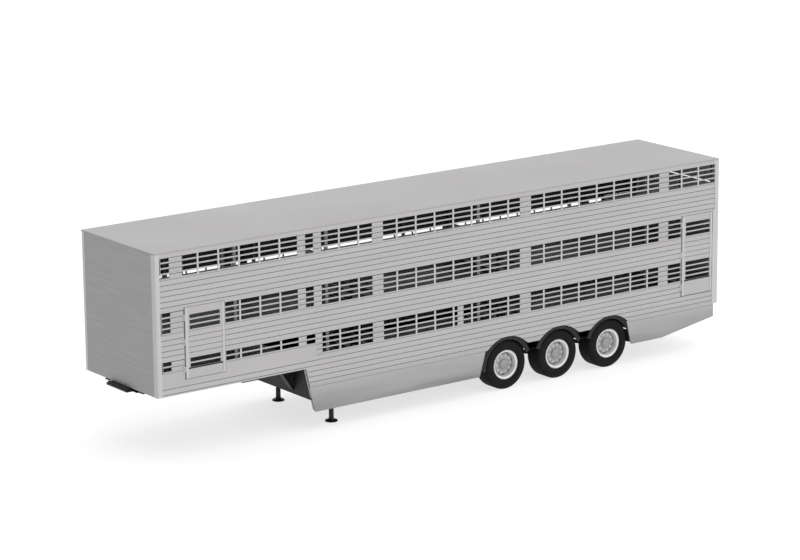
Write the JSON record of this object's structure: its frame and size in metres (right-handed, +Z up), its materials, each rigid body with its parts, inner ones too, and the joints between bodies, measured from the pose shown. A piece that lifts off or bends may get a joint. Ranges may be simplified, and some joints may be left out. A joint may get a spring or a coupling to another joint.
{
  "type": "livestock trailer",
  "caption": "Three-axle multi-deck livestock semi-trailer with plank sides, slatted vent rows, side doors, rear ramp, landing legs and a gooseneck with king pin.",
  "frame": {"origin": "middle of the bounding box on the ground plane", "axes": "+X towards the rear, -Y is the trailer's left side, +Z up"},
  "size_m": [13.7, 2.55, 3.95],
  "materials": {
    "side_aluminium": "satin silver-grey planks",
    "grille_aluminium": "satin silver-grey slats",
    "frame_aluminium": "mill-finish uprights and bows",
    "trim_aluminium": "satin, a little lighter",
    "roof_sheet": "smooth silver-grey sheet",
    "front_panel": "smooth silver-grey, faint waviness",
    "floor_aluminium": "raised-bar tread sheet",
    "chassis_black": "satin black paint",
    "black_plastic": "moulded, fine grain",
    "tyre_rubber": "matt black rubber",
    "wheel_silver": "bright silver",
    "galvanised_steel": "galvanised",
    "pin_steel": "machined",
    "lamp_red": "clear red lens",
    "bellows_rubber": "matt black rubber"
  },
  "bodies": {
    "trailer": {"chassis_rails": "chassis_black", "cross_members": "chassis_black", "coupling_plate": "chassis_black", "king_pin": "pin_steel", "lower_floor": "floor_aluminium", "neck_bulkhead": "chassis_black", "front_wall": "front_panel", "front_posts": "trim_aluminium", "left_planks": "side_aluminium", "right_planks": "side_aluminium", "side_posts": "frame_aluminium", "top_grilles": "grille_aluminium", "middle_grilles": "grille_aluminium", "bottom_grilles": "grille_aluminium", "roof_panel": "roof_sheet", "roof_rails": "side_aluminium", "rear_frame": "trim_aluminium", "side_skirts": "side_aluminium", "mudguards": "black_plastic", "leg_housings": "chassis_black", "hanger_brackets": "chassis_black", "lamp_beam": "chassis_black", "tail_lamps": "lamp_red", "lift_columns": "galvanised_steel", "air_tanks": "chassis_black", "air_springs": "bellows_rubber", "hinge_brackets": "pin_steel"},
    "left_leg": {"left_leg": "chassis_black", "left_foot": "chassis_black"},
    "right_leg": {"right_leg": "chassis_black", "right_foot": "chassis_black"},
    "leg_crank": {"leg_crank": "galvanised_steel"},
    "front_axle": {"front_axle": "chassis_black"},
    "left_front_wheel": {"left_front_tyre": "tyre_rubber", "left_front_rim": "wheel_silver"},
    "right_front_wheel": {"right_front_tyre": "tyre_rubber", "right_front_rim": "wheel_silver"},
    "middle_axle": {"middle_axle": "chassis_black"},
    "left_middle_wheel": {"left_middle_tyre": "tyre_rubber", "left_middle_rim": "wheel_silver"},
    "right_middle_wheel": {"right_middle_tyre": "tyre_rubber", "right_middle_rim": "wheel_silver"},
    "rear_axle": {"rear_axle": "chassis_black"},
    "left_rear_wheel": {"left_rear_tyre": "tyre_rubber", "left_rear_rim": "wheel_silver"},
    "right_rear_wheel": {"right_rear_tyre": "tyre_rubber", "right_rear_rim": "wheel_silver"},
    "left_front_door": {"left_front_door": "side_aluminium"},
    "left_rear_door": {"left_rear_door": "side_aluminium"},
    "right_front_door": {"right_front_door": "side_aluminium"},
    "right_rear_door": {"right_rear_door": "side_aluminium"},
    "rear_ramp": {"rear_ramp": "side_aluminium"},
    "left_top_door": {"left_top_door": "side_aluminium"},
    "right_top_door": {"right_top_door": "side_aluminium"},
    "middle_deck": {"middle_deck": "floor_aluminium"},
    "upper_deck": {"upper_deck": "floor_aluminium"},
    "front_lower_gate": {"front_lower_gate": "galvanised_steel"},
    "rear_lower_gate": {"rear_lower_gate": "galvanised_steel"},
    "front_upper_gate": {"front_upper_gate": "galvanised_steel"},
    "rear_upper_gate": {"rear_upper_gate": "galvanised_steel"}
  },
  "joints": [
    {"name": "left_leg_slide", "type": "slide", "parent": "trailer", "child": "left_leg", "axis": [0, 0, 1], "range_m": [0, 0.39]},
    {"name": "right_leg_slide", "type": "slide", "parent": "trailer", "child": "right_leg", "axis": [0, 0, 1], "range_m": [0, 0.39]},
    {"name": "crank_turn", "type": "hinge", "parent": "trailer", "child": "leg_crank", "pos_m": [-2.557, -1, 0.8], "axis": [0, 1, 0], "continuous": true},
    {"name": "front_axle_swing", "type": "hinge", "parent": "trailer", "child": "front_axle", "pos_m": [0.85, 0, 0.52], "axis": [0, 1, 0], "range_deg": [-4, 4], "stiffness_Nm_per_rad": 400000, "springref_deg": 1.23, "deforming": ["air_springs"]},
    {"name": "left_front_wheel_spin", "type": "hinge", "parent": "front_axle", "child": "left_front_wheel", "pos_m": [1.35, -1.03, 0.498], "axis": [0, 1, 0], "continuous": true},
    {"name": "right_front_wheel_spin", "type": "hinge", "parent": "front_axle", "child": "right_front_wheel", "pos_m": [1.35, 1.03, 0.498], "axis": [0, 1, 0], "continuous": true},
    {"name": "middle_axle_swing", "type": "hinge", "parent": "trailer", "child": "middle_axle", "pos_m": [2.16, 0, 0.52], "axis": [0, 1, 0], "range_deg": [-4, 4], "stiffness_Nm_per_rad": 400000, "springref_deg": 1.23, "deforming": ["air_springs"]},
    {"name": "left_middle_wheel_spin", "type": "hinge", "parent": "middle_axle", "child": "left_middle_wheel", "pos_m": [2.66, -1.03, 0.498], "axis": [0, 1, 0], "continuous": true},
    {"name": "right_middle_wheel_spin", "type": "hinge", "parent": "middle_axle", "child": "right_middle_wheel", "pos_m": [2.66, 1.03, 0.498], "axis": [0, 1, 0], "continuous": true},
    {"name": "rear_axle_swing", "type": "hinge", "parent": "trailer", "child": "rear_axle", "pos_m": [3.47, 0, 0.52], "axis": [0, 1, 0], "range_deg": [-4, 4], "stiffness_Nm_per_rad": 400000, "springref_deg": 1.23, "deforming": ["air_springs"]},
    {"name": "left_rear_wheel_spin", "type": "hinge", "parent": "rear_axle", "child": "left_rear_wheel", "pos_m": [3.97, -1.03, 0.498], "axis": [0, 1, 0], "continuous": true},
    {"name": "right_rear_wheel_spin", "type": "hinge", "parent": "rear_axle", "child": "right_rear_wheel", "pos_m": [3.97, 1.03, 0.498], "axis": [0, 1, 0], "continuous": true},
    {"name": "left_front_door_hinge", "type": "hinge", "parent": "trailer", "child": "left_front_door", "pos_m": [-6.134, -1.267, 2], "axis": [0, 0, -1], "range_deg": [0, 110]},
    {"name": "left_rear_door_hinge", "type": "hinge", "parent": "trailer", "child": "left_rear_door", "pos_m": [5.866, -1.267, 2], "axis": [0, 0, -1], "range_deg": [0, 110]},
    {"name": "right_front_door_hinge", "type": "hinge", "parent": "trailer", "child": "right_front_door", "pos_m": [-6.134, 1.267, 2], "axis": [0, 0, 1], "range_deg": [0, 110]},
    {"name": "right_rear_door_hinge", "type": "hinge", "parent": "trailer", "child": "right_rear_door", "pos_m": [5.866, 1.267, 2], "axis": [0, 0, 1], "range_deg": [0, 110]},
    {"name": "rear_ramp_hinge", "type": "hinge", "parent": "trailer", "child": "rear_ramp", "pos_m": [6.835, 0, 1.075], "axis": [0, 1, 0], "range_deg": [0, 116]},
    {"name": "left_top_door_hinge", "type": "hinge", "parent": "trailer", "child": "left_top_door", "pos_m": [6.842, -1.157, 3.6], "axis": [0, 0, -1], "range_deg": [0, 115]},
    {"name": "right_top_door_hinge", "type": "hinge", "parent": "trailer", "child": "right_top_door", "pos_m": [6.842, 1.157, 3.6], "axis": [0, 0, 1], "range_deg": [0, 115]},
    {"name": "middle_deck_lift", "type": "slide", "parent": "trailer", "child": "middle_deck", "axis": [0, 0, 1], "range_m": [0, 0.35]},
    {"name": "upper_deck_lift", "type": "slide", "parent": "middle_deck", "child": "upper_deck", "axis": [0, 0, 1], "range_m": [0, 0.65]},
    {"name": "front_lower_gate_hinge", "type": "hinge", "parent": "trailer", "child": "front_lower_gate", "pos_m": [-1.778, -1.175, 1.6], "axis": [0, 0, -1], "range_deg": [0, 90]},
    {"name": "rear_lower_gate_hinge", "type": "hinge", "parent": "trailer", "child": "rear_lower_gate", "pos_m": [1.798, -1.175, 1.6], "axis": [0, 0, -1], "range_deg": [0, 90]},
    {"name": "front_upper_gate_hinge", "type": "hinge", "parent": "upper_deck", "child": "front_upper_gate", "pos_m": [-1.778, -1.175, 2.5], "axis": [0, 0, -1], "range_deg": [0, 90]},
    {"name": "rear_upper_gate_hinge", "type": "hinge", "parent": "upper_deck", "child": "rear_upper_gate", "pos_m": [1.798, -1.175, 2.5], "axis": [0, 0, -1], "range_deg": [0, 90]}
  ],
  "couplings": [
    {"joint": "right_leg_slide", "follows": "left_leg_slide", "ratio": 1},
    {"joint": "crank_turn", "follows": "left_leg_slide", "rad_per_m": 314}
  ]
}
